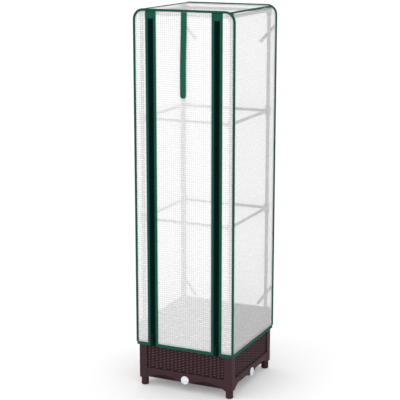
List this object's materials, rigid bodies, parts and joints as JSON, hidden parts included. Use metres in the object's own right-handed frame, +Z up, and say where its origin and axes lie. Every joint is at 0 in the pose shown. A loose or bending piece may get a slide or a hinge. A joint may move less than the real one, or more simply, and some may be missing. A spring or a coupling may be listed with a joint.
{
  "type": "covered planter box",
  "caption": "Square woven-look planter box on corner posts with a tall tube frame and a see-through cover that has a zipped roll-up front door.",
  "frame": {"origin": "on the floor under the middle of the planter", "axes": "+Z up, +X to the right along the front, -Y out of the front"},
  "size_m": [0.402, 0.4071, 1.434],
  "materials": {
    "planter_brown": "dark brown moulded plastic with a soft sheen",
    "grate_black": "black moulded plastic",
    "tube_grey": "grey coated steel tube",
    "joint_grey": "grey moulded plastic",
    "cover_sheet": "see-through white sheet with woven-in grid threads",
    "green_binding": "dark green woven tape",
    "zip_dark": "near-black green zip tape and teeth",
    "zip_metal": "dark lacquered metal",
    "tie_pale": "pale grey woven tape",
    "plug_white": "white moulded plastic"
  },
  "bodies": {
    "planter": {"front_panel": "planter_brown", "right_panel": "planter_brown", "rear_panel": "planter_brown", "left_panel": "planter_brown", "front_left_post": "planter_brown", "front_right_post": "planter_brown", "rear_right_post": "planter_brown", "rear_left_post": "planter_brown", "base_tray": "planter_brown", "soil_grate": "grate_black", "lower_uprights": "tube_grey", "middle_uprights": "tube_grey", "upper_uprights": "tube_grey", "lower_rails": "tube_grey", "middle_rails": "tube_grey", "top_rails": "tube_grey", "lower_joints": "joint_grey", "middle_joints": "joint_grey", "top_joints": "joint_grey", "cover_roof": "cover_sheet", "cover_left_wall": "cover_sheet", "cover_right_wall": "cover_sheet", "cover_rear_wall": "cover_sheet", "cover_front_left_strip": "cover_sheet", "cover_front_right_strip": "cover_sheet", "front_edge_binding": "green_binding", "rear_edge_binding": "green_binding", "left_roof_binding": "green_binding", "right_roof_binding": "green_binding", "hem_binding": "green_binding", "left_zip_frame_binding": "green_binding", "right_zip_frame_binding": "green_binding", "left_zip_top_patch": "green_binding", "right_zip_top_patch": "green_binding", "left_zip_frame_tape": "zip_dark", "right_zip_frame_tape": "zip_dark", "upper_left_tie": "tie_pale", "upper_right_tie": "tie_pale", "lower_left_tie": "tie_pale", "lower_right_tie": "tie_pale"},
    "door": {"door_sheet": "cover_sheet", "door_hem": "green_binding", "left_zip_door_binding": "green_binding", "right_zip_door_binding": "green_binding", "left_zip_door_tape": "zip_dark", "right_zip_door_tape": "zip_dark"},
    "left_slider": {"left_zip_slider": "zip_metal"},
    "right_slider": {"right_zip_slider": "zip_metal"},
    "left_pull": {"left_zip_pull": "zip_metal"},
    "right_pull": {"right_zip_pull": "zip_metal"},
    "outer_strap": {"outer_roll_strap": "green_binding"},
    "inner_strap": {"inner_roll_strap": "green_binding"},
    "front_plug": {"front_drain_plug": "plug_white"},
    "right_plug": {"right_drain_plug": "plug_white"},
    "rear_plug": {"rear_drain_plug": "plug_white"},
    "left_plug": {"left_drain_plug": "plug_white"}
  },
  "joints": [
    {"name": "door_roll_up", "type": "slide", "parent": "planter", "child": "door", "axis": [0, 0, 1], "range_m": [0, 1.16], "deforming": ["door_sheet", "left_zip_door_tape", "right_zip_door_tape", "left_zip_door_binding", "right_zip_door_binding"]},
    {"name": "left_zip_run", "type": "slide", "parent": "planter", "child": "left_slider", "axis": [0, 0, 1], "range_m": [0, 1.16]},
    {"name": "left_pull_swing", "type": "hinge", "parent": "left_slider", "child": "left_pull", "pos_m": [-0.1307, -0.20355, 0.202], "axis": [-1, 0, 0], "range_deg": [0, 150]},
    {"name": "right_zip_run", "type": "slide", "parent": "planter", "child": "right_slider", "axis": [0, 0, 1], "range_m": [0, 1.16]},
    {"name": "right_pull_swing", "type": "hinge", "parent": "right_slider", "child": "right_pull", "pos_m": [0.1307, -0.20355, 0.202], "axis": [-1, 0, 0], "range_deg": [0, 150]},
    {"name": "outer_strap_swing", "type": "hinge", "parent": "planter", "child": "outer_strap", "pos_m": [0, -0.19875, 1.4243], "axis": [-1, 0, 0], "range_deg": [0, 120]},
    {"name": "inner_strap_swing", "type": "hinge", "parent": "planter", "child": "inner_strap", "pos_m": [0, -0.19475, 1.4243], "axis": [1, 0, 0], "range_deg": [0, 32]},
    {"name": "front_plug_pull", "type": "slide", "parent": "planter", "child": "front_plug", "axis": [0, -1, 0], "range_m": [0, 0.03]},
    {"name": "right_plug_pull", "type": "slide", "parent": "planter", "child": "right_plug", "axis": [1, 0, 0], "range_m": [0, 0.03]},
    {"name": "rear_plug_pull", "type": "slide", "parent": "planter", "child": "rear_plug", "axis": [0, 1, 0], "range_m": [0, 0.03]},
    {"name": "left_plug_pull", "type": "slide", "parent": "planter", "child": "left_plug", "axis": [-1, 0, 0], "range_m": [0, 0.03]}
  ],
  "couplings": [
    {"joint": "left_zip_run", "follows": "door_roll_up", "ratio": 1},
    {"joint": "right_zip_run", "follows": "door_roll_up", "ratio": 1}
  ]
}
